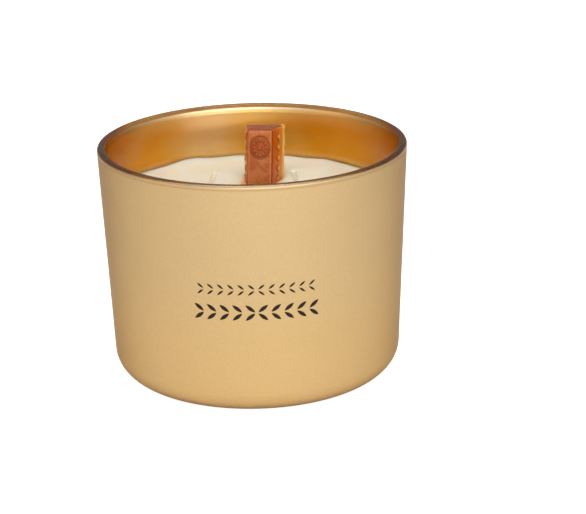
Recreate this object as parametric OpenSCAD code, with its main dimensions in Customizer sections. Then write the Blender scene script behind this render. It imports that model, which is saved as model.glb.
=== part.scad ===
// Scented candle in a lacquered glass jar: three cotton wicks in a soy wax fill,
// with an amber block pressed into the wax. Millimetres, +Z up, origin at the
// centre of the jar's underside. The front of the jar faces -Y.

/* [Jar] */
// Outer diameter of the glass at the rim
rim_d = 119.7; // [116:0.1:124]
// Outer diameter of the wall where it runs into the heel
heel_d = 113.4; // [110:0.1:116]
// Height of the jar
jar_h = 91.3; // [88:0.1:96]
// Thickness of the glass wall, which is also the width of the rim
wall_t = 3.3; // [2.8:0.1:4]
// Radius of the rim's outer and inner edges
rim_edge_r = 1.2; // [0.4:0.1:1.2]
// Radius of the rounded heel under the wall
heel_r = 9.6; // [7:0.1:12]
// Thickness of the glass base
base_t = 9; // [7:0.5:11]
// Radius of the corner between the floor and the wall, inside
floor_r = 7; // [5:0.5:9]
// Diameter of the recess under the base
punt_d = 82; // [60:1:88]
// Depth of the recess under the base
punt_h = 1.6; // [1:0.1:2.5]

/* [Lacquer] */
// Thickness of the sprayed lacquer coat
coat_t = 0.15; // [0.1:0.05:0.3]
// Height of the coat's lower edge, in the heel
coat_foot = 1.2; // [0.8:0.1:3]
// Angle that the coat reaches up round the rim's outer edge
coat_wrap = 40; // [20:1:50]

/* [Wax] */
// Height of the wax surface
wax_level = 69; // [66:0.5:74]

/* [Wicks] */
// Diameter of the circle that the wicks stand on
wick_circle_d = 40; // [34:1:44]
// Diameter of a waxed cotton wick
wick_d = 2.4; // [1.8:0.1:3]
// Length of wick that stands out of the wax
wick_trim = 7; // [5:0.5:10]
// Diameter of the tinplate tab under a wick
tab_d = 20; // [16:0.5:24]
// Height of the tab's crimped neck
tab_neck_h = 6; // [4:0.5:8]
// Diameter of the adhesive pad under a tab
pad_d = 18; // [14:0.5:20]

/* [Amber block] */
// Length of the block
block_l = 40; // [34:1:44]
// Width of the block's back face
block_w = 16.2; // [14:0.1:18]
// Thickness of the block
block_t = 13; // [10:0.5:14]
// Slope of its sides, as how far the front face stands in from the back face
block_inset = 3.2; // [2:0.1:4]
// Angle that the block leans back, towards +Y
lean_back = 18; // [10:0.5:20]
// Angle that the block leans towards +X
lean_side = 2.3; // [0:0.1:4]
// Angle that the block is turned about its own length
block_turn = -9.6; // [-12:0.1:0]

/* [Base label] */
// Diameter of the round label under the base
label_d = 62; // [50:1:66]

/* [Hidden] */
$fn = 120;

// Centres of the rounds at the rim's outer edge and at the heel, as [radius, height]
rim_c = [rim_d / 2 - rim_edge_r, jar_h - rim_edge_r];
heel_c = [heel_d / 2 - heel_r, heel_r];
// Angle of the wall from upright, with both rounds tangent to it
wall_run = norm(rim_c - heel_c);
wall_angle = 90 - atan2(rim_c[1] - heel_c[1], rim_c[0] - heel_c[0]) + asin((rim_edge_r - heel_r) / wall_run);
// Direction square to the wall, outwards
wall_out = [cos(wall_angle), -sin(wall_angle)];
// Centre of the round at the rim's inner edge, and where that round meets the wall
mouth_c = rim_c - [(wall_t - 2 * rim_edge_r) / cos(wall_angle), 0];
mouth_t = mouth_c - rim_edge_r * wall_out;
// Width of the slope round the recess under the base
punt_edge = 5;
// How far a cutter runs past the face that it cuts
overrun = 1;

// Clearance between the wax and what it surrounds, and between the block and its socket
wax_gap = 0.05;
socket_gap = 0.15;

// Thicknesses of an adhesive pad, of a tab's sheet and of the label's paper
pad_h = 0.8;
tab_t = 0.3;
label_t = 0.12;
// Outer diameter of a tab's neck, and width and height of the flare at its foot
tab_neck_d = 3.6;
tab_flare = 1;

// Where the wicks stand: name, angle on their circle, lean of the tip, direction of the lean
WICKS = [
    ["left", 150, 20, -5],
    ["right", 30, 12, 190],
    ["front", 270, 8, 60]
];
// Height of a wick's elbow, just above the wax, and its diameter from there to the tip
wick_elbow_z = wax_level + 1.4;
wick_tip_d = wick_d - 0.2;

// Middle of the upper edge of the block's back face
block_top = [5.4, 32.8, 89.1];
// Plain ring pressed into the block's front face, this far below its upper edge
seal_r = 4.4;
seal_groove = 0.5;
seal_drop = 10.3;

// Radius of the wall's outer line at height z
function wall_r(z) = rim_c[0] + (z - rim_c[1]) * tan(wall_angle) + rim_edge_r / cos(wall_angle);

// The jar's outline with no hollow, moved out by grow
module jar_solid_2d(grow = 0) {
    heel_t = heel_c + (heel_r + grow) * wall_out;
    rim_t = rim_c + (rim_edge_r + grow) * wall_out;
    top = jar_h + grow;
    polygon([[0, -grow], [heel_c[0], -grow], heel_t, rim_t, rim_c, [rim_c[0], top], [0, top]]);
    translate(rim_c) circle(rim_edge_r + grow);
    intersection() {
        translate(heel_c) circle(heel_r + grow);
        translate([0, -grow]) square([heel_d, heel_r + grow]);
    }
}

// The hollow inside the jar, made smaller by gap. The points in top close its upper end
module jar_hollow_2d(top, gap = 0) {
    // The corner's round is tangent to the floor and to the wall's inner line
    corner_z = base_t + floor_r;
    corner_c = [wall_r(corner_z) - (wall_t + floor_r) / cos(wall_angle), corner_z];
    corner_r = floor_r - gap;
    corner_t = corner_c + corner_r * wall_out;
    polygon(concat([[0, base_t], [corner_c[0], base_t], corner_t], top));
    intersection() {
        translate(corner_c) circle(corner_r);
        translate([0, base_t]) square([heel_d, floor_r]);
    }
}

module glass_jar() {
    mouth_z = jar_h + overrun;
    color([0.80, 0.60, 0.30]) rotate_extrude() difference() {
        jar_solid_2d();
        difference() {
            jar_hollow_2d([mouth_t, mouth_c, [mouth_c[0], mouth_z], [0, mouth_z]]);
            translate(mouth_c) circle(rim_edge_r);
        }
        polygon([
            [0, -overrun], [punt_d / 2, -overrun], [punt_d / 2, 0],
            [punt_d / 2 - punt_edge, punt_h], [0, punt_h]
        ]);
    }
}

module lacquer_coat() {
    reach = rim_c + wall_t * [cos(coat_wrap), sin(coat_wrap)];
    color([0.85, 0.68, 0.40]) rotate_extrude() difference() {
        jar_solid_2d(coat_t);
        jar_solid_2d();
        translate([0, -heel_r]) square([heel_d, heel_r + coat_foot]);
        polygon([rim_c, reach, [rim_c[0], reach[1]], [0, reach[1]], [0, rim_c[1]]]);
    }
}

module base_label() {
    color([0.93, 0.91, 0.86])
        translate([0, 0, punt_h - label_t]) cylinder(d = label_d, h = label_t);
}

// Puts its children where a wick stands
module at_wick(wick) {
    rotate(wick[1]) translate([wick_circle_d / 2, 0, 0]) rotate(-wick[1]) children();
}

module pad(wick, gap = 0) {
    color([0.90, 0.88, 0.84]) at_wick(wick)
        translate([0, 0, base_t]) cylinder(d = pad_d + 2 * gap, h = pad_h);
}

// A disc with a crimped neck, made larger by gap
module tab_solid(gap = 0) {
    translate([0, 0, -gap]) cylinder(d = tab_d + 2 * gap, h = tab_t + 2 * gap);
    neck_r = tab_neck_d / 2 + gap;
    cylinder(r1 = neck_r + tab_flare, r2 = neck_r, h = tab_t + tab_flare + gap);
    cylinder(r = neck_r, h = tab_neck_h + gap);
}

// The tinplate tab, with a hole that grips the wick
module tab(wick) {
    color([0.72, 0.73, 0.75]) at_wick(wick) translate([0, 0, base_t + pad_h]) difference() {
        tab_solid();
        translate([0, 0, -overrun]) cylinder(d = wick_d, h = tab_neck_h + 2 * overrun);
    }
}

// A rod that stands upright to its elbow, and leans from there to its tip
module wick(wick) {
    foot = base_t + pad_h;
    root = wick_elbow_z - wick_d / 2;
    color([0.94, 0.90, 0.80]) at_wick(wick) {
        translate([0, 0, foot]) cylinder(d = wick_d, h = wick_elbow_z - foot);
        translate([0, 0, root]) rotate(wick[3]) rotate([0, wick[2], 0])
            cylinder(d = wick_tip_d, h = (wax_level + wick_trim - root) / cos(wick[2]));
    }
}

// Puts its children in the block's own frame: its back face's upper edge along X, its length down -Z
module at_block() {
    translate(block_top) rotate([0, lean_side, 0]) rotate([-lean_back, 0, 0]) rotate([0, 0, block_turn])
        children();
}

// A bar with sloping sides and ends, its wide face at the back. rise makes it longer at the upper end
module bar(gap = 0, rise = 0) {
    half_w = block_w / 2;
    intersection() {
        translate([0, 0, -block_l - gap]) linear_extrude(block_l + 2 * gap + rise) polygon([
            [-half_w - gap, gap], [half_w + gap, gap],
            [half_w - block_inset + gap, -block_t - gap], [-half_w + block_inset - gap, -block_t - gap]
        ]);
        rotate([90, 0, 90]) translate([0, 0, -block_w]) linear_extrude(2 * block_w) polygon([
            [gap, rise + gap], [gap, -block_l - gap],
            [-block_t - gap, -block_l + block_inset - gap],
            [-block_t - gap, rise > 0 ? rise + gap : -block_inset]
        ]);
    }
}

module amber_block() {
    color([0.72, 0.36, 0.12]) at_block() difference() {
        bar();
        translate([0, -block_t, -seal_drop]) rotate([90, 0, 0]) difference() {
            cylinder(r = seal_r, h = 2 * seal_groove, center = true);
            cylinder(r = seal_r - seal_groove, h = 3 * seal_groove, center = true);
        }
    }
}

module wax_fill() {
    wax_r = wall_r(wax_level) - (wall_t + wax_gap) / cos(wall_angle);
    color([0.94, 0.88, 0.76]) difference() {
        rotate_extrude() jar_hollow_2d([[wax_r, wax_level], [0, wax_level]], wax_gap);
        for (wick = WICKS) {
            pad(wick, wax_gap);
            at_wick(wick) translate([0, 0, base_t + pad_h]) {
                tab_solid(wax_gap);
                cylinder(d = wick_d + 2 * wax_gap, h = wax_level);
            }
        }
        at_block() bar(socket_gap, block_l);
    }
}

glass_jar();
lacquer_coat();
base_label();
wax_fill();
pad(WICKS[0]);  // pad_left
pad(WICKS[1]);  // pad_right
pad(WICKS[2]);  // pad_front
tab(WICKS[0]);  // tab_left
tab(WICKS[1]);  // tab_right
tab(WICKS[2]);  // tab_front
wick(WICKS[0]);  // wick_left
wick(WICKS[1]);  // wick_right
wick(WICKS[2]);  // wick_front
amber_block();
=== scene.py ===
"""Scented candle in a gold-lacquered glass jar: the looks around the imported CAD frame. Metres, +Z up."""
import math

import bmesh
import bpy
from mathutils import Matrix, Vector, noise


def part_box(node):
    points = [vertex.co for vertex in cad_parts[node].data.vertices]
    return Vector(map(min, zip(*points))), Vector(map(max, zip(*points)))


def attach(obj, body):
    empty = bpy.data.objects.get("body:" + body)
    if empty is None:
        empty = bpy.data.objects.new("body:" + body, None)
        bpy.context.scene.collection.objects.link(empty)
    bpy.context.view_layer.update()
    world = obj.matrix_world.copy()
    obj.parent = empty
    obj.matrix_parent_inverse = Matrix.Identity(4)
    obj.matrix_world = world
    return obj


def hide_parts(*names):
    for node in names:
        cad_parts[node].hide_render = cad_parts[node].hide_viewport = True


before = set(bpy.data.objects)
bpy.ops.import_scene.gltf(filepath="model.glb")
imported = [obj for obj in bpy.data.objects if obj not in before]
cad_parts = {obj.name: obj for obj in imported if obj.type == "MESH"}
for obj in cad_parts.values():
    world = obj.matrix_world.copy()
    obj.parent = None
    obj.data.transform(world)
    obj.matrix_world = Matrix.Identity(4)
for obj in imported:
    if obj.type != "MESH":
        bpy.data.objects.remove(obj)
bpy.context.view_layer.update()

MM = 0.001

# ---------------------------------------------------------------- dimensions, as the CAD has them
JAR_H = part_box("glass_jar")[1].z
# The rim's outer edge and the heel are rounds: how far out each one reaches, and their own radii
RIM_R, HEEL_R = 59.85 * MM, 56.7 * MM
RIM_ROUND, HEEL_ROUND = 1.2 * MM, 9.6 * MM
# Centres of those rounds, as (radius, height)
RIM_AT = Vector((RIM_R - RIM_ROUND, JAR_H - RIM_ROUND))
HEEL_AT = Vector((HEEL_R - HEEL_ROUND, HEEL_ROUND))
WALL_RUN = RIM_AT - HEEL_AT
# Angle of the wall from upright: the wall is tangent to both rounds
WALL_LEAN = math.atan2(WALL_RUN.x, WALL_RUN.y) + math.asin((RIM_ROUND - HEEL_ROUND) / WALL_RUN.length)
# Thickness of the wall and of the base, and radius of the corner between the floor and the wall
WALL_T = 3.3 * MM
BASE_T = 9 * MM
FLOOR_ROUND = 7 * MM
# The recess under the base: its radius, the width of the slope round it, and its depth
PUNT_R, PUNT_EDGE, PUNT_H = 41 * MM, 5 * MM, 1.6 * MM
COAT_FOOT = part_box("lacquer_coat")[0].z
WAX_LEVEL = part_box("wax_fill")[1].z

# Where the wicks stand: angle on their circle, lean of the tip and direction of the lean, in degrees
WICKS = {"left": (150, 20, -5), "right": (30, 12, 190), "front": (270, 8, 60)}
WICK_CIRCLE_R = 20 * MM
WICK_R = 1.2 * MM
WICK_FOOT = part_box("wick_left")[0].z
WICK_TIP = WAX_LEVEL + 7 * MM
# Radius and height of a pad, of the tab on it, and of the tab's neck, which has a flare round its foot
PAD_R, PAD_H = 9 * MM, 0.8 * MM
TAB_R, TAB_T = 10 * MM, 0.3 * MM
NECK_R, NECK_H, NECK_FLARE = 1.8 * MM, 6 * MM, 1 * MM
# Clearance between the wax and a tab or pad, and between the bar and its socket
TAB_GAP, SOCKET_GAP = 0.05 * MM, 0.15 * MM

# The bar: length, width of its back, thickness, and how far its front stands in from its back
BAR_L, BAR_W, BAR_T, BAR_INSET = 40 * MM, 16.2 * MM, 13 * MM, 3.2 * MM
# Middle of the upper edge of its back
BAR_TOP = Vector((5.4, 32.8, 89.1)) * MM
BAR_TURN = (
    Matrix.Rotation(math.radians(2.3), 4, "Y")
    @ Matrix.Rotation(math.radians(-18), 4, "X")
    @ Matrix.Rotation(math.radians(-9.6), 4, "Z")
)

# ---------------------------------------------------------------- dimensions that only the looks have
# The coat's shell starts a hair inside the glass, so that no air shows between them
COAT_T, COAT_SINK = 0.13 * MM, 0.02 * MM
# How far up the rim's round the coat runs: a little less than in the CAD, as its edge is thin there
COAT_WRAP = math.radians(35)
# The wax wets the glass: its side lies a hair inside the glass, so that no air shows between them
WAX_GAP = -0.02 * MM

# Width of the bevel along the bar's edges, and spacing of the grid that its faces are cut into
BAR_EDGE, BAR_GRID = 0.7 * MM, 0.25 * MM
# How far down its length the bar shows above the wax
BAR_SHOWN = 23 * MM
# The pressed ring: how far down the front its middle is, and its half width and half height
RING_DROP, RING_R = 10.3 * MM, (4.0 * MM, 4.6 * MM)
# Depths of the ring's groove and of what lies inside it
GROOVE_DEPTH, RECESS_DEPTH = 0.35 * MM, 0.22 * MM
# Radius and height of the dome in the ring and of each bead, and the beads' circle as a share of the ring
DOME, BEAD = (1.1 * MM, 0.45 * MM), (0.6 * MM, 0.4 * MM)
BEADS, BEAD_CIRCLE = 12, 0.66
# Half width and half height of a lozenge, how far down the first one is, and their pitch
LOZENGE, LOZENGE_DROP, LOZENGE_PITCH = (2.3 * MM, 1.8 * MM), 5.5 * MM, 4.2 * MM
# How many there are on a flank, and how high they stand
LOZENGES, LOZENGE_RISE = 5, 0.5 * MM

# ---------------------------------------------------------------- camera
# Where it stands, where it looks, its roll, and its focal length in millimetres
CAMERA_AT = Vector((0, -653.6, 273.87)) * MM
CAMERA_AIM = Vector((14.94, 0, 43.05)) * MM
CAMERA_ROLL = math.radians(-1.18)
CAMERA_LENS = 107.35


def make_camera():
    data = bpy.data.cameras.new("camera")
    data.lens = CAMERA_LENS
    data.sensor_width = 36
    data.clip_start, data.clip_end = 0.01, 20
    camera = bpy.data.objects.new("camera", data)
    bpy.context.scene.collection.objects.link(camera)
    turn = (CAMERA_AIM - CAMERA_AT).to_track_quat("-Z", "Y").to_matrix()
    turn = turn @ Matrix.Rotation(CAMERA_ROLL, 3, "Z")
    camera.matrix_world = Matrix.Translation(CAMERA_AT) @ turn.to_4x4()
    bpy.context.scene.camera = camera


# ---------------------------------------------------------------- mesh helpers
def add_object(name, bm, material=None):
    """A mesh object from bm, smooth with sharp edges kept."""
    bmesh.ops.recalc_face_normals(bm, faces=bm.faces)
    mesh = bpy.data.meshes.new(name)
    bm.to_mesh(mesh)
    bm.free()
    mesh.shade_smooth()
    mesh.set_sharp_from_angle(angle=math.radians(40))
    obj = bpy.data.objects.new(name, mesh)
    bpy.context.scene.collection.objects.link(obj)
    if material:
        mesh.materials.append(material)
    return obj


def fillet(corners, step=math.radians(7.5)):
    """Points of a polyline whose corners (x, z, radius) are rounded by arcs. Its ends have radius 0."""
    points = []
    for i, (x, z, radius) in enumerate(corners):
        here = Vector((x, z))
        if radius == 0:
            points.append(here)
            continue
        before = (Vector(corners[i - 1][:2]) - here).normalized()
        after = (Vector(corners[i + 1][:2]) - here).normalized()
        half = before.angle(after) / 2
        reach = radius / math.tan(half)
        centre = here + (before + after).normalized() * (radius / math.sin(half))
        start, end = here + before * reach - centre, here + after * reach - centre
        sweep = start.angle_signed(end)
        count = max(3, math.ceil(abs(sweep) / step))
        for k in range(count + 1):
            turned = start.copy()
            turned.rotate(Matrix.Rotation(-sweep * k / count, 2))
            points.append(centre + turned)
    return points


def subdivide(points, longest):
    """The same polyline with no stretch longer than longest."""
    out = []
    for a, b in zip(points, points[1:]):
        count = max(1, math.ceil((b - a).length / longest))
        out += [a.lerp(b, k / count) for k in range(count)]
    return out + [points[-1]]


def lathe(profile, segments, closed=False, wobble=None):
    """A bmesh turned about Z from (radius, height) points. wobble(angle, r, z) gives new r and z."""
    bm = bmesh.new()
    rings = []
    for r, z in profile:
        if r < 1e-7:
            rings.append([bm.verts.new((0, 0, z))] * segments)
            continue
        ring = []
        for k in range(segments):
            angle = 2 * math.pi * k / segments
            at_r, at_z = wobble(angle, r, z) if wobble else (r, z)
            ring.append(bm.verts.new((at_r * math.cos(angle), at_r * math.sin(angle), at_z)))
        rings.append(ring)
    pairs = list(zip(rings, rings[1:] + rings[:1] if closed else rings[1:]))
    for low, high in pairs:
        for k in range(segments):
            n = (k + 1) % segments
            face = list(dict.fromkeys((low[k], low[n], high[n], high[k])))
            if len(face) > 2:
                bm.faces.new(face)
    return bm


def wall_r(z, inset=0):
    """Radius of the jar's outer wall line at height z, moved in by inset."""
    return RIM_AT.x + (z - RIM_AT.y) * math.tan(WALL_LEAN) + (RIM_ROUND - inset) / math.cos(WALL_LEAN)


# ---------------------------------------------------------------- material helpers
class Field:
    """A number that varies over a surface, so that shader maths reads as ordinary arithmetic."""

    def __init__(self, nodes, socket):
        self.nodes = nodes
        self.socket = socket

    def __add__(self, other):
        return self.nodes.math("ADD", self, other)

    def __sub__(self, other):
        return self.nodes.math("SUBTRACT", self, other)

    def __rsub__(self, other):
        return self.nodes.math("SUBTRACT", other, self)

    def __mul__(self, other):
        return self.nodes.math("MULTIPLY", self, other)

    def __truediv__(self, other):
        return self.nodes.math("DIVIDE", self, other)

    def __abs__(self):
        return self.nodes.math("ABSOLUTE", self)

    def at_least(self, other):
        """The larger of this and other."""
        return self.nodes.math("MAXIMUM", self, other)

    def off_whole(self):
        """How far it is from the nearest whole number."""
        return abs(self - self.nodes.math("ROUND", self))


class Nodes:
    """A material with a Principled shader, and short ways to add nodes to it."""

    def __init__(self, name, **sockets):
        self.material = bpy.data.materials.new(name)
        self.material.use_nodes = True
        self.tree = self.material.node_tree
        self.shader = self.tree.nodes["Principled BSDF"]
        for key, value in sockets.items():
            self.shader.inputs[key.replace("_", " ")].default_value = value
        self.place = self.add("ShaderNodeTexCoord").outputs["Object"]

    def add(self, kind, **settings):
        node = self.tree.nodes.new(kind)
        for key, value in settings.items():
            setattr(node, key, value)
        return node

    def put(self, socket, value):
        """Gives a socket a constant, or joins another node's output to it."""
        if isinstance(value, Field):
            value = value.socket
        if isinstance(value, bpy.types.NodeSocket):
            self.tree.links.new(value, socket)
        else:
            socket.default_value = value

    def link(self, source, target):
        """Joins source to a socket, or to the Principled shader's input of that name."""
        self.put(self.shader.inputs[target] if isinstance(target, str) else target, source)

    def axes(self, place=None):
        node = self.add("ShaderNodeSeparateXYZ")
        self.put(node.inputs[0], place or self.place)
        return [Field(self, output) for output in node.outputs]

    def in_bar(self):
        """Coordinates in the bar's own frame."""
        node = self.add("ShaderNodeMapping", vector_type="TEXTURE")
        self.put(node.inputs["Vector"], self.place)
        node.inputs["Location"].default_value = BAR_TOP
        node.inputs["Rotation"].default_value = BAR_TURN.to_euler()
        return node.outputs[0]

    def stretch(self, scale):
        node = self.add("ShaderNodeMapping")
        self.put(node.inputs["Vector"], self.place)
        node.inputs["Scale"].default_value = scale
        return node.outputs[0]

    def noise(self, size, detail=3, roughness=0.5, place=None):
        """Noise whose features are about size metres across."""
        node = self.add("ShaderNodeTexNoise")
        self.put(node.inputs["Vector"], place or self.place)
        node.inputs["Scale"].default_value = 1 / size
        node.inputs["Detail"].default_value = detail
        node.inputs["Roughness"].default_value = roughness
        return Field(self, node.outputs["Fac"])

    def pores(self, size):
        """Distance from the nearest of many scattered points, which are about size metres apart."""
        node = self.add("ShaderNodeTexVoronoi")
        self.put(node.inputs["Vector"], self.place)
        node.inputs["Scale"].default_value = 1 / size
        return Field(self, node.outputs["Distance"])

    def math(self, operation, a, b=0.0):
        node = self.add("ShaderNodeMath", operation=operation)
        self.put(node.inputs[0], a)
        self.put(node.inputs[1], b)
        return Field(self, node.outputs[0])

    def hypot(self, a, b):
        return self.math("SQRT", a * a + b * b)

    def span(self, value, low, high, to_low=0.0, to_high=1.0):
        """value from low to high, mapped to to_low to to_high and held there."""
        node = self.add("ShaderNodeMapRange", interpolation_type="SMOOTHSTEP")
        for socket, given in zip(node.inputs, (value, low, high, to_low, to_high)):
            self.put(socket, given)
        return Field(self, node.outputs[0])

    def band(self, value, start, full, fade, end):
        """1 where value lies from full to fade, easing to 0 at start and at end."""
        return self.span(value, start, full) * self.span(value, fade, end, 1, 0)

    def mix(self, share, a, b):
        """Colour a, turning into b as share goes from 0 to 1."""
        node = self.add("ShaderNodeMix", data_type="RGBA")
        self.put(node.inputs["Factor"], share)
        for socket, given in ((node.inputs[6], a), (node.inputs[7], b)):
            self.put(socket, (*given, 1) if isinstance(given, tuple) else given)
        return node.outputs[2]

    def bump(self, height, distance, normal=None):
        node = self.add("ShaderNodeBump")
        self.put(node.inputs["Height"], height)
        node.inputs["Distance"].default_value = distance
        if normal:
            self.put(node.inputs["Normal"], normal)
        return node.outputs[0]


# ---------------------------------------------------------------- materials
def gold_lacquer():
    """Satin gold with a fine flake in it, and a glossy lip along the rim."""
    m = Nodes("gold_lacquer", Metallic=0.92, Coat_Roughness=0.08, Specular_Tint=(0.32, 0.21, 0.22, 1))
    _, _, height = m.axes()
    cloud = m.noise(22 * MM, detail=2)
    flake = m.noise(0.35 * MM, detail=2, roughness=0.7)
    tone = m.mix(m.span(height, 20 * MM, 62 * MM), (0.645, 0.440, 0.190), (0.618, 0.440, 0.220))
    tone = m.mix(m.span(cloud, 0.35, 0.65, 0, 0.12), tone, (0.70, 0.50, 0.255))
    tone = m.mix(m.span(flake, 0.35, 0.7, 0, 0.28), tone, (0.80, 0.62, 0.34))
    # Painted shade: a thin dark line just under the rim
    line = m.band(height, JAR_H - 2.4 * MM, JAR_H - 1.7 * MM, JAR_H - 1.35 * MM, JAR_H - 1.05 * MM)
    m.link(m.mix(line, tone, (0.55, 0.37, 0.175)), "Base Color")
    m.link(m.span(flake, 0.3, 0.7, 0.50, 0.40), "Roughness")
    # The sprayed coat pools into a glossy lip along the rim
    m.link(m.span(height, JAR_H - 1.8 * MM, JAR_H - 0.9 * MM, 0.15, 1), "Coat Weight")
    peel = m.bump(m.noise(1.8 * MM, detail=1), 0.012 * MM)
    m.link(m.bump(flake, 0.006 * MM, normal=peel), "Normal")
    return m.material


def lacquer_inside():
    """The lacquer's inner side, which the glass shows: a deeper, redder gold."""
    m = Nodes("lacquer_inside", Metallic=1.0)
    x, y, height = m.axes()
    cloud = m.noise(9 * MM, detail=3)
    flake = m.noise(0.4 * MM, detail=2, roughness=0.7)
    tone = m.mix(m.span(cloud, 0.3, 0.7), (0.90, 0.39, 0.006), (0.94, 0.43, 0.014))
    tone = m.mix(m.span(m.noise(30 * MM, detail=1), 0.42, 0.62, 0, 0.6), tone, (0.95, 0.56, 0.12))
    # Painted light: the gold is paler towards the rim, where more light reaches the inner wall
    tone = m.mix(m.span(height, JAR_H - 11 * MM, JAR_H - 1 * MM), tone, (0.94, 0.62, 0.22))
    # Painted reflection of the lights: palest in a soft patch left of the middle. Painted shade: deepest
    # at the two sides
    facing = m.span(abs(y), 12 * MM, 46 * MM)
    painted_reflection_patch = m.span(abs(x + 19 * MM), 3 * MM, 18 * MM, 0.75, 0) * facing
    tone = m.mix(painted_reflection_patch, tone, (0.99, 0.72, 0.34))
    tone = m.mix(1.0 - facing, tone, (0.88, 0.29, 0.003))
    tone = m.mix(m.span(flake, 0.45, 0.75, 0, 0.15), tone, (0.97, 0.66, 0.26))
    # Painted light: the gold is paler at the wax's level and just over it, lifting the dark line where the
    # wax meets the wall
    tone = m.mix(m.span(height, WAX_LEVEL - 1 * MM, WAX_LEVEL + 3 * MM, 0.9, 0), tone, (0.98, 0.72, 0.30))
    # Under the rim at the back, a smoother band painted pale: a painted highlight
    painted_highlight_band = m.band(height, JAR_H - 3.6 * MM, JAR_H - 2.4 * MM, JAR_H - 2.0 * MM, JAR_H - 1.4 * MM)
    painted_highlight_band = painted_highlight_band * m.span(y, 5 * MM, 38 * MM)
    m.link(m.mix(painted_highlight_band, tone, (0.98, 0.78, 0.46)), "Base Color")
    m.link(m.mix(painted_highlight_band, m.span(flake, 0.3, 0.7, 0.36, 0.30), (0.28, 0.28, 0.28)), "Roughness")
    # Towards the rim it leans up into the light
    slope = m.bump(m.span(height, JAR_H - 4.2 * MM, JAR_H - 1.6 * MM, 1, 0), 0.34 * MM)
    slope = m.bump(m.span(height, JAR_H - 12 * MM, JAR_H - 2 * MM, 1, 0), 0.36 * MM, normal=slope)
    m.link(m.bump(flake, 0.006 * MM, normal=slope), "Normal")
    return m.material


def jar_glass():
    """Clear glass with a faint film of wax and soot on its wall, and a polished rim tinted dark brown as
    painted shade.
    """
    m = Nodes("jar_glass", Transmission_Weight=1.0, IOR=1.5, Specular_IOR_Level=0.06,
              Specular_Tint=(1, 0.70, 0.42, 1))
    _, _, height = m.axes()
    smudge = m.noise(14 * MM, detail=3)
    clear = m.mix(smudge, (0.985, 0.98, 0.965), (0.995, 0.99, 0.985))
    # Painted shade: the glass of the rim is tinted dark brown
    rim = m.span(height, JAR_H - 1.5 * MM, JAR_H - 0.9 * MM)
    m.link(m.mix(rim, clear, (0.47, 0.33, 0.22)), "Base Color")
    film = m.band(height, 20 * MM, 60 * MM, JAR_H - 1.6 * MM, JAR_H - 0.6 * MM)
    m.link(m.span(smudge, 0.45, 0.75, 0.0, 0.03) + film * 0.22, "Roughness")
    return m.material


def soy_wax():
    """Creamy wax, stained by the amber bar where the two touch."""
    m = Nodes("soy_wax", Subsurface_Weight=1.0, Subsurface_Scale=4 * MM,
              Subsurface_Radius=(1.0, 0.72, 0.45), Coat_Weight=0.12, Coat_Roughness=0.25)
    cloud = m.noise(11 * MM, detail=4)
    tone = m.mix(m.span(cloud, 0.3, 0.7), (0.92, 0.82, 0.65), (0.95, 0.88, 0.72))
    # Distance from the bar, made ragged
    x, y, _ = m.axes(m.in_bar())
    beside = (abs(x) - (BAR_W - BAR_INSET) / 2).at_least(0.0)
    before = (abs(y + BAR_T / 2) - BAR_T / 2).at_least(0.0)
    near = m.hypot(beside, before) + m.noise(4 * MM, detail=3) * (2.4 * MM)
    m.link(m.mix(m.span(near, 0.9 * MM, 4.4 * MM, 0.95, 0), tone, (0.76, 0.29, 0.06)), "Base Color")
    m.link(m.span(cloud, 0.3, 0.7, 0.34, 0.5), "Roughness")
    m.link(m.bump(m.noise(2.6 * MM, detail=3), 0.04 * MM), "Normal")
    return m.material


def ring_marks(m, x, z, front):
    """Where the front lies inside the pressed ring and where the groove is, both darkened as painted
    shade, and where the beads are worn, frosted and painted pale as a highlight.
    """
    across, down = x / RING_R[0], (z + RING_DROP) / RING_R[1]
    oval = m.hypot(across, down)
    # Painted shade is laid on the ring's inside and its groove
    inside = m.span(oval, 0.86, 1.0, 1, 0) * front
    groove = m.span(abs(oval - 1.0), 0.03, 0.12, 1, 0) * front
    # Turned so far round the oval, counted in beads
    bead_count = m.math("ARCTAN2", down, across) * (BEADS / (2 * math.pi))
    off_bead = bead_count.off_whole() * 0.5 + abs(oval - BEAD_CIRCLE)
    # Worn beads and dome: frosted, and painted pale as a highlight
    worn = m.span(off_bead, 0.06, 0.16, 1, 0).at_least(m.span(oval, 0.08, 0.2, 1, 0)) * front
    return inside, groove, worn


def lozenge_marks(m, y, z, flank):
    """Where the flanks have painted shade at the feet of the lozenges, and painted highlights on their
    tops.
    """
    step = (z + LOZENGE_DROP) / LOZENGE_PITCH
    off = abs(y + BAR_T / 2) / LOZENGE[0] + step.off_whole() * (LOZENGE_PITCH / LOZENGE[1])
    # The stretch of the flank that has lozenges
    rows = flank * m.span(z, -3 * MM, -2.5 * MM, 1, 0) * m.span(z, -24.6 * MM, -24.2 * MM)
    return rows * m.span(abs(off - 1.0), 0.1, 0.3, 0.8, 0), rows * m.span(off, 0.45, 0.75, 0.75, 0)


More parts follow.
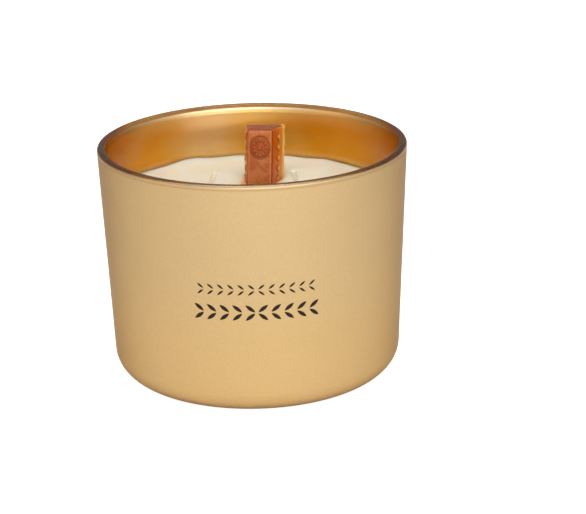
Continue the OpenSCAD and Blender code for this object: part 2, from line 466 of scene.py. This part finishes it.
def amber():
    """Deep orange amber, frosted where it is worn, with painted light in its flanks, painted shade on its
    top, bevels and hollows, and painted highlights on its raised marks and flash.
    """
    m = Nodes("amber", Subsurface_Weight=1.0, Subsurface_Scale=3.5 * MM,
              Subsurface_Radius=(1.0, 0.30, 0.08), Specular_IOR_Level=0.2)
    cloud = m.noise(5 * MM, detail=4)
    scuffs = m.noise(0.9 * MM, detail=4, roughness=0.7)
    x, y, z = m.axes(m.in_bar())
    aside = abs(x)

    # The bar's faces. Its flanks and ends stand in by slope at this depth
    slope = y * (-BAR_INSET / BAR_T)
    flank = m.span(aside + slope, BAR_W / 2 - 0.5 * MM, BAR_W / 2 - 0.1 * MM)
    # Painted shade: the top is given a darker colour than the front
    top = m.span(z + slope, -0.5 * MM, -0.1 * MM, 0, 0.7)
    front = m.span(y, -BAR_T - 0.3 * MM, -BAR_T + 0.9 * MM, 1, 0)
    front_half = BAR_W / 2 - BAR_INSET
    # Painted shade on the bevels round the front, which are made dark
    edge = m.span(aside, front_half - 0.35 * MM, front_half - 0.05 * MM)
    edge = edge.at_least(m.span(z, -BAR_INSET - 0.3 * MM, -BAR_INSET))
    edge = edge * m.span(y, -BAR_T + 0.3 * MM, -BAR_T + 1.1 * MM, 1, 0)
    inside, groove, worn = ring_marks(m, x, z, front)
    lozenge_shade, lozenge_highlight = lozenge_marks(m, y, z, flank)

    # Frosted: the front's border and clouds, the worn beads, and the flash along the back's edges; the
    # border, the worn beads and the flash are also painted pale as highlights
    border = m.span(aside, front_half - 1.3 * MM, front_half - 0.4 * MM)
    border = border.at_least(m.span(z, -BAR_INSET - 2.6 * MM, -BAR_INSET - 0.7 * MM))
    frost_and_highlight = border.at_least(m.span(cloud, 0.42, 0.66, 0.15, 0.65)) * front
    frost_and_highlight = frost_and_highlight * m.span(scuffs, 0.3, 0.6, 0.3, 0.85)
    frost_and_highlight = (frost_and_highlight * (1.0 - inside)).at_least(worn * 0.3) * (1.0 - edge)
    flash = m.span(y, -3.0 * MM, -1.2 * MM) * m.span(scuffs, 0.3, 0.6, 0.6, 1)
    # Painted highlight on the flash, full on the +x side and weaker elsewhere
    flash = flash * m.span(x, BAR_W / 2 - 3 * MM, BAR_W / 2 - 0.5 * MM, 0.4, 1)

    tone = m.mix(m.span(cloud, 0.3, 0.7), (0.40, 0.098, 0.014), (0.48, 0.130, 0.020))
    # The light shines through the flanks, and more so towards the back
    through = m.mix(m.span(y, -BAR_T, -1.5 * MM), (0.52, 0.095, 0.006), (0.76, 0.27, 0.03))
    # Painted shade darkens the top, the bevels, the ring's inside and groove and the lozenges' feet;
    # painted highlights lighten the lozenges' tops, the frosted marks and the flash
    for share, colour in (
        (flank, through),
        (top, (0.25, 0.050, 0.006)),
        (edge, (0.22, 0.035, 0.004)),
        (inside, (0.33, 0.060, 0.006)),
        (groove, (0.20, 0.035, 0.004)),
        (lozenge_shade, (0.34, 0.05, 0.003)),
        (lozenge_highlight, (0.88, 0.36, 0.10)),
        (frost_and_highlight * 0.8, (0.66, 0.33, 0.155)),
        (flash, (1.0, 0.58, 0.19)),
    ):
        tone = m.mix(share, tone, colour)
    m.link(tone, "Base Color")
    m.link(m.mix(frost_and_highlight.at_least(flash), (0.3, 0.3, 0.3), (0.6, 0.6, 0.6)), "Roughness")
    m.link(m.bump(m.noise(0.8 * MM, detail=3), 0.03 * MM), "Normal")
    return m.material


def waxed_cotton():
    m = Nodes("waxed_cotton", Subsurface_Weight=0.8, Subsurface_Scale=1.5 * MM,
              Subsurface_Radius=(1.0, 0.8, 0.6), Roughness=0.6)
    fibre = m.noise(0.4 * MM, detail=3, place=m.stretch((1, 1, 0.25)))
    m.link(m.mix(m.span(fibre, 0.3, 0.7), (0.86, 0.78, 0.64), (0.94, 0.89, 0.78)), "Base Color")
    m.link(m.bump(fibre, 0.08 * MM), "Normal")
    return m.material


def print_ink():
    m = Nodes("print_ink", Specular_IOR_Level=0.25)
    speck = m.noise(0.5 * MM, detail=3)
    m.link(m.mix(speck, (0.010, 0.004, 0.002), (0.024, 0.010, 0.005)), "Base Color")
    m.link(m.span(speck, 0.3, 0.7, 0.42, 0.6), "Roughness")
    return m.material


def label_paper():
    m = Nodes("label_paper", Roughness=0.75)
    fibre = m.noise(0.6 * MM, detail=5, roughness=0.7)
    m.link(m.mix(fibre, (0.84, 0.81, 0.75), (0.91, 0.89, 0.84)), "Base Color")
    m.link(m.bump(fibre, 0.02 * MM), "Normal")
    return m.material


def tinplate():
    m = Nodes("tinplate", Metallic=1.0)
    grain = m.noise(0.5 * MM, detail=3, place=m.stretch((1, 12, 1)))
    m.link(m.mix(grain, (0.52, 0.52, 0.53), (0.68, 0.69, 0.70)), "Base Color")
    m.link(m.span(grain, 0.3, 0.7, 0.25, 0.42), "Roughness")
    m.link(m.bump(grain, 0.01 * MM), "Normal")
    return m.material


def adhesive_foam():
    m = Nodes("adhesive_foam", Roughness=0.85)
    pores = m.pores(0.7 * MM)
    m.link(m.mix(m.span(pores, 0.1, 0.6), (0.74, 0.71, 0.64), (0.88, 0.86, 0.80)), "Base Color")
    m.link(m.bump(pores, 0.05 * MM), "Normal")
    return m.material


# ---------------------------------------------------------------- jar
JAR_SEGMENTS = 256


def jar_corners():
    """The jar's outline from the axis under the base, round the wall, to the axis on the floor."""
    return [
        (0, PUNT_H, 0),
        (PUNT_R - PUNT_EDGE, PUNT_H, 1 * MM),
        (PUNT_R, 0, 0.5 * MM),
        (wall_r(0), 0, HEEL_ROUND),
        (wall_r(JAR_H), JAR_H, RIM_ROUND),
        (wall_r(JAR_H, WALL_T), JAR_H, RIM_ROUND),
        (wall_r(BASE_T, WALL_T), BASE_T, FLOOR_ROUND),
        (0, BASE_T, 0),
    ]


def make_jar(material):
    profile = subdivide(fillet(jar_corners(), step=math.radians(6)), 4 * MM)
    jar = add_object("glass_body", lathe(profile, JAR_SEGMENTS), material)
    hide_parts("glass_jar")
    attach(jar, "jar")


def make_lacquer(outside, inside):
    """A thin shell just outside the glass, from inside the heel to partway round the rim."""
    def line(out):
        corners = [
            (PUNT_R, -out, 0),
            (wall_r(0, -out), -out, HEEL_ROUND + out),
            (wall_r(JAR_H, -out), JAR_H, 0),
        ]
        points = subdivide(fillet(corners, step=math.radians(4)), 4 * MM)
        upright = [p for p in points if COAT_FOOT < p.y < RIM_AT.y - 0.2 * MM]
        # From where the wall meets the rim's round to where the coat ends on it
        steps = 12
        turns = [COAT_WRAP * k / steps - WALL_LEAN * (1 - k / steps) for k in range(steps + 1)]
        return upright + [RIM_AT + (RIM_ROUND + out) * Vector((math.cos(a), math.sin(a))) for a in turns]

    profile = line(COAT_T) + line(-COAT_SINK)[::-1]

    def wobble(angle, r, z):
        """The sprayed coat's upper edge isn't quite level."""
        on_rim = Vector((r, z)) - RIM_AT
        if on_rim.y > 0.1 * MM:
            wave = noise.noise(Vector((4 * math.cos(angle), 4 * math.sin(angle), 0)))
            on_rim.rotate(Matrix.Rotation(0.16 * (wave - 0.5) * on_rim.y / RIM_ROUND, 2))
            r, z = RIM_AT + on_rim
        return r, z

    coat = add_object("gold_lacquer", lathe(profile, JAR_SEGMENTS, closed=True, wobble=wobble), outside)
    coat.data.materials.append(inside)
    for face in coat.data.polygons:
        out = Vector((face.center.x, face.center.y, 0)).dot(face.normal)
        face.material_index = 1 if out < 0 else 0
    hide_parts("lacquer_coat")
    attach(coat, "jar")


# ---------------------------------------------------------------- wax
# Where the wax climbs the wall: angle and half width in degrees, and height in millimetres
WAX_LOBES = [
    (119, 8, 0.9), (97, 4, 0.45), (78, 6, 0.35), (58, 5, 0.5), (30, 7, 0.5), (-5, 9, 0.6), (-48, 7, 0.5),
    (-80, 10, 0.7), (-118, 6, 0.5), (-150, 9, 0.6), (172, 7, 0.5), (148, 4, 0.3),
]


def wick_foot(name):
    angle = math.radians(WICKS[name][0])
    return Vector((WICK_CIRCLE_R * math.cos(angle), WICK_CIRCLE_R * math.sin(angle), WICK_FOOT))


def wax_height(x, y):
    """Height of the wax surface: level, slightly tilted, waved, and drawn up at the wall and the wicks."""
    r = math.hypot(x, y)
    angle = math.degrees(math.atan2(y, x))
    inward = wall_r(WAX_LEVEL, WALL_T) - r
    near_wall = math.exp(-inward / (2.2 * MM))
    # climb and rise are in millimetres
    climb = -0.3 - 0.55 * math.cos(math.radians(angle))
    for at, width, height in WAX_LOBES:
        off = (angle - at + 180) % 360 - 180
        climb += height * math.exp(-((off / width) ** 2))
    rise = 0.25 * noise.noise(Vector((x, y, 0)) / (16 * MM))
    rise += 0.08 * noise.noise(Vector((x, y, 9)) / (5 * MM))
    rise += climb * (0.45 * math.exp(-(inward / (9 * MM)) ** 2) + 0.55 * near_wall) + 0.5 * near_wall
    for name in WICKS:
        foot = wick_foot(name)
        away = math.hypot(x - foot.x, y - foot.y)
        rise += 0.5 * math.exp(-((away / (2.0 * MM)) ** 2)) - 0.35 * math.exp(-((away / (6 * MM)) ** 2))
    return WAX_LEVEL + rise * MM


def make_wax(material, cutters):
    """The wax: a solid that fits the jar, waved on top, with the cutters' volumes taken out."""
    inner = [
        (0, BASE_T + WAX_GAP, 0),
        (wall_r(BASE_T, WALL_T + WAX_GAP), BASE_T + WAX_GAP, FLOOR_ROUND - WAX_GAP),
        (wall_r(WAX_LEVEL - 3 * MM, WALL_T + WAX_GAP), WAX_LEVEL - 3 * MM, 0),
    ]
    profile = subdivide(fillet(inner), 6 * MM)
    edge = wall_r(WAX_LEVEL, WALL_T + WAX_GAP)
    rings, segments = 64, 240
    # Rings crowd towards the wall, where the surface bends most
    radii = [edge * math.sin(math.pi / 2 * k / rings) for k in range(rings, -1, -1)]
    top = [Vector((r, WAX_LEVEL)) for r in radii]

    def wobble(angle, r, z):
        """Moves a point of the top to the waved surface, and keeps its edge on the wall."""
        if z > WAX_LEVEL - 0.1 * MM:
            z = wax_height(r * math.cos(angle), r * math.sin(angle))
            r = min(r, wall_r(z, WALL_T + WAX_GAP))
            if r > edge - 0.01 * MM:
                r = wall_r(z, WALL_T + WAX_GAP)
        return r, z

    wax = add_object("soy_wax", lathe(profile + top, segments, wobble=wobble), material)
    for cutter in cutters:
        cut(wax, cutter)
    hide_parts("wax_fill")
    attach(wax, "jar")


def cut(obj, cutter):
    """Takes cutter's volume out of obj for good, and removes cutter."""
    modifier = obj.modifiers.new("cut", "BOOLEAN")
    modifier.operation = "DIFFERENCE"
    modifier.solver = "EXACT"
    modifier.object = cutter
    bpy.context.view_layer.update()
    result = bpy.data.meshes.new_from_object(obj.evaluated_get(bpy.context.evaluated_depsgraph_get()))
    obj.modifiers.clear()
    obj.data = result
    bpy.data.objects.remove(cutter)


# ---------------------------------------------------------------- amber bar
def bar_mesh(grow=0, rise=0):
    """The bar in its own frame: back face at y = 0, length down -Z. rise makes it longer upwards."""
    bm = bmesh.new()
    half = BAR_W / 2
    top_in = 0 if rise else BAR_INSET
    back = [(-half - grow, grow, rise + grow), (half + grow, grow, rise + grow),
            (half + grow, grow, -BAR_L - grow), (-half - grow, grow, -BAR_L - grow)]
    h = half - BAR_INSET + grow
    y = -BAR_T - grow
    front = [(-h, y, rise + grow - top_in), (h, y, rise + grow - top_in),
             (h, y, -BAR_L + BAR_INSET - grow), (-h, y, -BAR_L + BAR_INSET - grow)]
    b = [bm.verts.new(p) for p in back]
    f = [bm.verts.new(p) for p in front]
    bm.faces.new(b)
    bm.faces.new(f[::-1])
    for k in range(4):
        n = (k + 1) % 4
        bm.faces.new((b[k], f[k], f[n], b[n]))
    return bm


def bead(x, z, at_x, at_z, radius, height):
    """Height at (x, z) of a round dome that stands at (at_x, at_z)."""
    d = math.hypot(x - at_x, z - at_z) / radius
    return height * math.sqrt(1 - d * d) if d < 1 else 0


def front_relief(x, z):
    """Height of the bar's front at (x, z): a pressed oval ring that holds a ring of beads and a dome."""
    z += RING_DROP
    oval = math.hypot(x / RING_R[0], z / RING_R[1])
    height = -GROOVE_DEPTH * math.exp(-(((oval - 1) / 0.09) ** 2)) - (RECESS_DEPTH if oval < 0.95 else 0)
    height += bead(x, z, 0, 0, *DOME)
    for k in range(BEADS):
        angle = 2 * math.pi * k / BEADS
        at_x = BEAD_CIRCLE * RING_R[0] * math.cos(angle)
        at_z = BEAD_CIRCLE * RING_R[1] * math.sin(angle)
        height += bead(x, z, at_x, at_z, *BEAD)
    return height


def side_relief(across, z):
    """Height of a flank: a row of raised lozenges, across being the distance from the flank's middle."""
    height = 0
    for k in range(LOZENGES):
        d = abs(across) / LOZENGE[0] + abs(z + LOZENGE_DROP + LOZENGE_PITCH * k) / LOZENGE[1]
        height = max(height, min(LOZENGE_RISE, 1.1 * MM * (1 - d)))
    return height


def divide_bar(bm):
    """Cuts the bar's long edges finely, so that each of its faces becomes a grid."""
    for axis in (2, 1, 0):
        long_edges = []
        for edge in bm.edges:
            along = edge.verts[1].co - edge.verts[0].co
            if along.length > 2 * MM and abs(along[axis]) > 0.8 * along.length:
                long_edges.append(edge)
        cuts = round(max(edge.calc_length() for edge in long_edges) / BAR_GRID)
        bmesh.ops.subdivide_edges(bm, edges=long_edges, cuts=cuts, use_grid_fill=True)


def bar_shift(v):
    """How far a point moves from the plain bar: unevenness all over, and what shows above the wax."""
    uneven, flash, wear = 0.07 * MM, 0.45 * MM, 0.25 * MM
    x, y, z = v.co
    # Fades to nothing in the wax, so that the bar fits its socket
    shown = min(1, max(0, (z + BAR_SHOWN) / (2 * MM)))
    move = v.normal * uneven * noise.noise(v.co / (3 * MM))
    if y < -BAR_T + 0.01 * MM:
        move.y -= front_relief(x, z) * shown
    side = 1 if x > 0 else -1
    flank = Vector((BAR_T * side, -BAR_INSET, 0)).normalized()
    off_flank = Vector((x - side * BAR_W / 2, y, 0)).dot(flank)
    if off_flank > -0.01 * MM:
        move += flank * side_relief(-y - BAR_T / 2, z) * shown
    elif y > -BAR_EDGE and off_flank > -0.5 * BAR_EDGE:
        # The thin flash that the mould left along the back's edges
        ragged = noise.noise(Vector((side * 9, 0, z / (2.2 * MM))))
        move.x += side * shown * flash * max(0, 0.35 + ragged)
    else:
        move -= v.normal * shown * wear * max(0, noise.noise(v.co / (1.6 * MM)) - 0.1)
    return move


def make_bar(material):
    """The cast bar, cut into a fine grid so that its relief, worn edges and thin flash are real."""
    bm = bar_mesh()
    bmesh.ops.bevel(bm, geom=bm.edges[:], offset=BAR_EDGE, segments=4, profile=0.5, affect="EDGES")
    divide_bar(bm)
    bm.normal_update()
    for v in bm.verts:
        v.co += bar_shift(v)
    bar = add_object("amber_bar", bm, material)
    bar.data.transform(Matrix.Translation(BAR_TOP) @ BAR_TURN)
    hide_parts("amber_block")
    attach(bar, "amber_block")


def socket_cutter():
    """The bar's volume and some clearance, drawn out past the wax."""
    cutter = add_object("socket_cutter", bar_mesh(SOCKET_GAP, BAR_L))
    cutter.data.transform(Matrix.Translation(BAR_TOP) @ BAR_TURN)
    return cutter


# ---------------------------------------------------------------- wicks
def wick_line(name):
    """Points of a wick's middle line: upright through the wax, then a bend that leans over."""
    _, lean, towards = WICKS[name]
    lean, towards = math.radians(lean), math.radians(towards)
    side = Vector((math.cos(towards), math.sin(towards), 0))
    foot = wick_foot(name)
    upright = WAX_LEVEL - 1 * MM - WICK_FOOT
    upright_steps, bend_steps = 30, 28
    points = [foot + Vector((0, 0, upright * k / upright_steps)) for k in range(upright_steps)]
    bend_step = (WICK_TIP - WICK_FOOT - upright) / math.cos(lean) / bend_steps
    here = foot + Vector((0, 0, upright))
    for k in range(bend_steps + 1):
        points.append(here.copy())
        tilt = lean * min(1, 0.3 + 1.4 * k / bend_steps)
        here += (side * math.sin(tilt) + Vector((0, 0, math.cos(tilt)))) * bend_step
    return points


def make_wick(name, material):
    """A braided wick: strands that wind both ways show as lobes that cross along its length."""
    sides = 36
    # Length of wick in which a strand turns by one radian
    strand_run = 1.7 * MM
    bm = bmesh.new()
    rings = []
    line = wick_line(name)
    run = 0
    for i, point in enumerate(line):
        ahead = line[min(i + 1, len(line) - 1)] - line[max(i - 1, 0)]
        turn = Vector((0, 0, 1)).rotation_difference(ahead).to_matrix()
        run += (point - line[i - 1]).length if i else 0
        twist = run / strand_run
        # The tip is trimmed, and a little thinner
        trim = 0.8 if i == len(line) - 1 else 1
        ring = []
        for k in range(sides):
            angle = 2 * math.pi * k / sides
            lobes = max(abs(math.cos(2 * angle - twist)), abs(math.cos(2 * angle + twist)))
            radius = WICK_R * (0.80 + 0.2 * lobes) * trim
            around = Vector((radius * math.cos(angle), radius * math.sin(angle), 0))
            ring.append(bm.verts.new(point + turn @ around))
        rings.append(ring)
    for low, high in zip(rings, rings[1:]):
        for k in range(sides):
            n = (k + 1) % sides
            bm.faces.new((low[k], low[n], high[n], high[k]))
    bm.faces.new(rings[0][::-1])
    bm.faces.new(rings[-1])
    wick = add_object("braided_wick_" + name, bm, material)
    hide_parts("wick_" + name)
    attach(wick, "jar")


def wick_cutter(name):
    """The passage that a wick, its tab and its pad fill in the wax, up to just under the surface."""
    foot = wick_foot(name)
    tab_foot, tab_top = PAD_H - TAB_GAP, PAD_H + TAB_T + TAB_GAP
    neck, neck_top = NECK_R + TAB_GAP, PAD_H + NECK_H + TAB_GAP
    top = WAX_LEVEL - 1 * MM - BASE_T
    profile = [
        (0, 0), (PAD_R + TAB_GAP, 0), (PAD_R + TAB_GAP, tab_foot), (TAB_R + TAB_GAP, tab_foot),
        (TAB_R + TAB_GAP, tab_top), (neck + NECK_FLARE, tab_top), (neck, tab_top + NECK_FLARE),
        (neck, neck_top), (WICK_R, neck_top), (WICK_R * 0.9, top), (0, top),
    ]
    cutter = add_object("wick_cutter", lathe(profile, segments=48))
    cutter.data.transform(Matrix.Translation((foot.x, foot.y, BASE_T)))
    return cutter


# ---------------------------------------------------------------- printed ornament
# Rows of leaf pairs: height on the wall, number of pairs, their pitch, and a leaf's length and width
LEAF_ROWS = (
    (51.3 * MM, 12, 3.8 * MM, 3.0 * MM, 0.8 * MM),
    (42.3 * MM, 10, 4.8 * MM, 4.5 * MM, 1.45 * MM),
)
LEAF_LEAN = math.radians(38)
# Underside and top of the ink, outwards from the coat
INK = (-0.02 * MM, 0.035 * MM)


def wrapped(x, z, out):
    """A point on the coat's front: x along the wall from its middle, z height, out from the coat."""
    radius = wall_r(z, -COAT_T) + out
    angle = -math.pi / 2 + x / radius
    return Vector((radius * math.cos(angle), radius * math.sin(angle), z))


def leaf(bm, x, z, turn, length, width):
    """A lens-shaped leaf with its stem end at (x, z), as a thin closed solid on the wall."""
    steps = 12
    c, s = math.cos(turn), math.sin(turn)

    def rows_at(level):
        """Rows of points across the leaf, from its stem to its tip: one point at each end, else three."""
        rows = []
        for k in range(steps + 1):
            t = k / steps
            half = width / 2 * math.sin(math.pi * t) ** 0.8 if 0 < k < steps else 0
            row = []
            for side in ((0,) if half == 0 else (-1, 0, 1)):
                u, v = length * t, half * side
                row.append(bm.verts.new(wrapped(x + c * u - s * v, z + s * u + c * v, level)))
            rows.append(row)
        return rows

    low, high = (rows_at(level) for level in INK)
    for rows in (low, high):
        for a, b in zip(rows, rows[1:]):
            if len(a) == 1:
                bm.faces.new((a[0], b[0], b[1]))
                bm.faces.new((a[0], b[1], b[2]))
            elif len(b) == 1:
                bm.faces.new((a[0], b[0], a[1]))
                bm.faces.new((a[1], b[0], a[2]))
            else:
                bm.faces.new((a[0], b[0], b[1], a[1]))
                bm.faces.new((a[1], b[1], b[2], a[2]))
    for side in (0, -1):
        for k in range(steps):
            bm.faces.new((low[k][side], low[k + 1][side], high[k + 1][side], high[k][side]))


def make_ornament(material):
    """Rows of leaf pairs that point away from the middle."""
    bm = bmesh.new()
    for row_z, count, pitch, length, width in LEAF_ROWS:
        for k in range(count):
            x = (k - (count - 1) / 2) * pitch
            way = 1 if x > 0 else -1
            for up in (1, -1):
                turn = up * LEAF_LEAN if way > 0 else math.pi - up * LEAF_LEAN
                leaf(bm, x - way * length * 0.4, row_z + up * 0.25 * MM, turn, length, width)
    ornament = add_object("printed_ornament", bm, material)
    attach(ornament, "jar")


# ---------------------------------------------------------------- stage
ROOM_LIGHT = 0.30
# How much the floor glows to the camera, and to the object that reflects it
FLOOR_GLOW, FLOOR_LIGHT = 0.85, 0.1
# The middle of the jar, which the lights face
LIGHTS_AIM = Vector((0, 0, 0.05))


def camera_sees(tree, seen, otherwise, output):
    """Shows one shader to the camera and another to all other rays. Only the stage uses it."""
    mix = tree.nodes.new("ShaderNodeMixShader")
    ray = tree.nodes.new("ShaderNodeLightPath")
    tree.links.new(ray.outputs["Is Camera Ray"], mix.inputs[0])
    tree.links.new(otherwise.outputs[0], mix.inputs[1])
    tree.links.new(seen.outputs[0], mix.inputs[2])
    tree.links.new(mix.outputs[0], output)


def make_floor():
    """A pale floor that is bright enough to meet the white background without a line."""
    bm = bmesh.new()
    bmesh.ops.create_grid(bm, x_segments=1, y_segments=1, size=4)
    m = Nodes("floor", Base_Color=(0.9, 0.9, 0.9, 1), Roughness=0.8)
    looks = []
    for strength in (FLOOR_GLOW, FLOOR_LIGHT):
        glow = m.add("ShaderNodeEmission")
        glow.inputs["Strength"].default_value = strength
        lit = m.add("ShaderNodeAddShader")
        m.link(glow.outputs[0], lit.inputs[0])
        m.link(m.shader.outputs[0], lit.inputs[1])
        looks.append(lit)
    camera_sees(m.tree, *looks, m.tree.nodes["Material Output"].inputs["Surface"])
    floor = add_object("floor", bm, m.material)
    # A hair under the jar, so that the two don't share a plane
    floor.location.z = -0.2 * MM


def softbox(name, at, size, radiance, color=(1, 1, 1)):
    """A rectangular light that faces the jar and looks radiance bright, white being 1."""
    data = bpy.data.lights.new(name, "AREA")
    data.color = color
    data.shape = "RECTANGLE"
    data.size, data.size_y = size
    data.energy = radiance * math.pi * size[0] * size[1]
    light = bpy.data.objects.new(name, data)
    bpy.context.scene.collection.objects.link(light)
    light.location = at
    light.rotation_mode = "QUATERNION"
    light.rotation_quaternion = (LIGHTS_AIM - Vector(at)).to_track_quat("-Z", "Y")
    light.visible_camera = False


def make_world():
    """White behind the object, and a dim room all round for the light that it reflects."""
    world = bpy.data.worlds.new("studio")
    bpy.context.scene.world = world
    world.use_nodes = True
    tree = world.node_tree
    room = tree.nodes["Background"]
    room.inputs["Color"].default_value = (1, 0.92, 0.81, 1)
    room.inputs["Strength"].default_value = ROOM_LIGHT
    white = tree.nodes.new("ShaderNodeBackground")
    white.inputs["Color"].default_value = (1, 1, 1, 1)
    white.inputs["Strength"].default_value = 1.0
    camera_sees(tree, white, room, tree.nodes["World Output"].inputs["Surface"])


def make_lights():
    """A broad softbox and a strip in front, one softbox at each side, and one above."""
    softbox("front_softbox", (0, -1.1, 0.32), (2.2, 0.66), 0.97)
    softbox("front_strip", (0.32, -0.95, 0.37), (1.5, 0.12), 4.6)
    softbox("left_softbox", (-1.15, -0.5, 0.35), (0.9, 0.7), 0.78, (1, 0.70, 0.42))
    softbox("right_softbox", (1.15, -0.5, 0.35), (0.9, 0.7), 0.58, (1, 0.86, 0.74))
    softbox("top_softbox", (0, -0.2, 1.1), (0.8, 0.8), 4.05)


# ---------------------------------------------------------------- assembly
bpy.context.scene.view_settings.view_transform = "Standard"
make_camera()
make_world()
make_lights()
make_floor()

make_jar(jar_glass())
make_lacquer(gold_lacquer(), lacquer_inside())
make_wax(soy_wax(), [socket_cutter()] + [wick_cutter(name) for name in WICKS])
make_bar(amber())
cotton = waxed_cotton()
for wick_name in WICKS:
    make_wick(wick_name, cotton)
make_ornament(print_ink())

for part, finish in (("tab", tinplate()), ("pad", adhesive_foam())):
    for wick_name in WICKS:
        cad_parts[f"{part}_{wick_name}"].data.materials[0] = finish
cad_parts["base_label"].data.materials[0] = label_paper()
